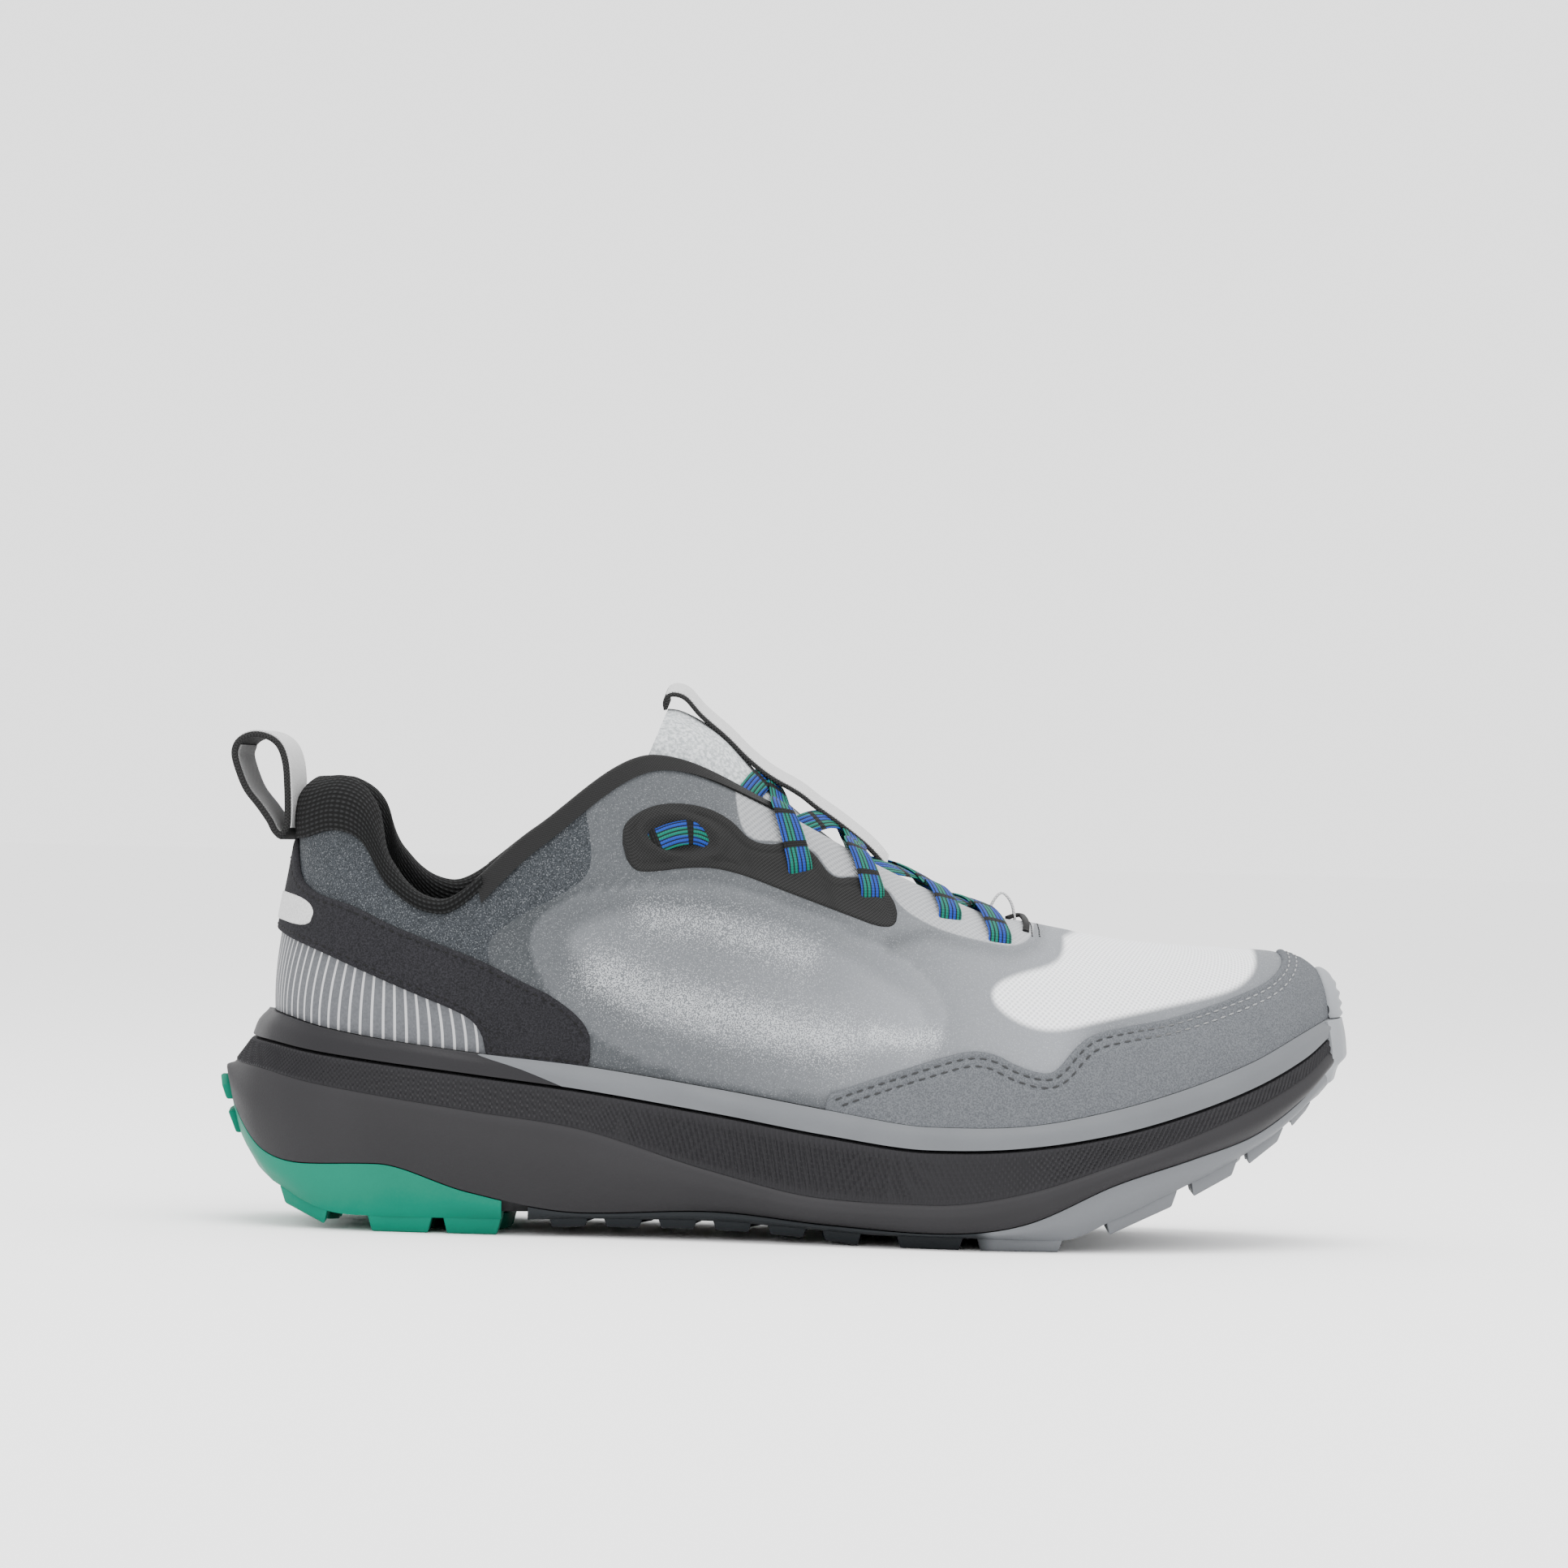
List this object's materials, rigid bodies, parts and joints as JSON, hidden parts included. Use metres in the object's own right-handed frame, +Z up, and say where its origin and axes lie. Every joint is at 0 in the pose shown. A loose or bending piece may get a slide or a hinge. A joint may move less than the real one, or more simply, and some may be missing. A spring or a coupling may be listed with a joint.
{
  "type": "trail running shoe",
  "caption": "Low trail running shoe for the right foot: lugged rubber outsole, thick foam midsole, hollow mesh upper with overlays, knit collar, tongue, laces and pull loop.",
  "frame": {"origin": "on the ground, below the middle of the shoe's length and width", "axes": "+X to the toe, +Y to the inner side of the foot, +Z up"},
  "size_m": [0.3001, 0.1118, 0.1447],
  "materials": {
    "heel_rubber": "satin green rubber",
    "tread_rubber": "matte light grey rubber",
    "foam": "matte charcoal foam with moulded ribs",
    "lining": "plain dark cloth",
    "mesh": "pale fine mesh",
    "suede": "napped grey suede",
    "nubuck": "near black nubuck",
    "knit": "ribbed knit",
    "webbing": "dark woven tape",
    "strap": "light grey woven strap",
    "lace": "flat woven lace in blue, teal and black"
  },
  "bodies": {
    "root": {"outsole_heel": "heel_rubber", "outsole_forefoot": "tread_rubber", "midsole": "foam", "rim_heel": "foam", "rim_front": "tread_rubber", "insole": "lining", "upper": "mesh", "toe_guard": "suede", "toe_bumper": "tread_rubber", "heel_band": "nubuck", "eyestay_lateral": "webbing", "eyestay_medial": "webbing", "collar_cuff": "knit", "binding_lateral": "webbing", "binding_medial": "webbing", "tongue": "mesh", "tongue_strap": "strap", "pull_loop": "strap", "lace_cross_1": "lace", "lace_cross_2": "lace", "lace_cross_3": "lace", "lace_cross_4": "lace"}
  },
  "joints": []
}
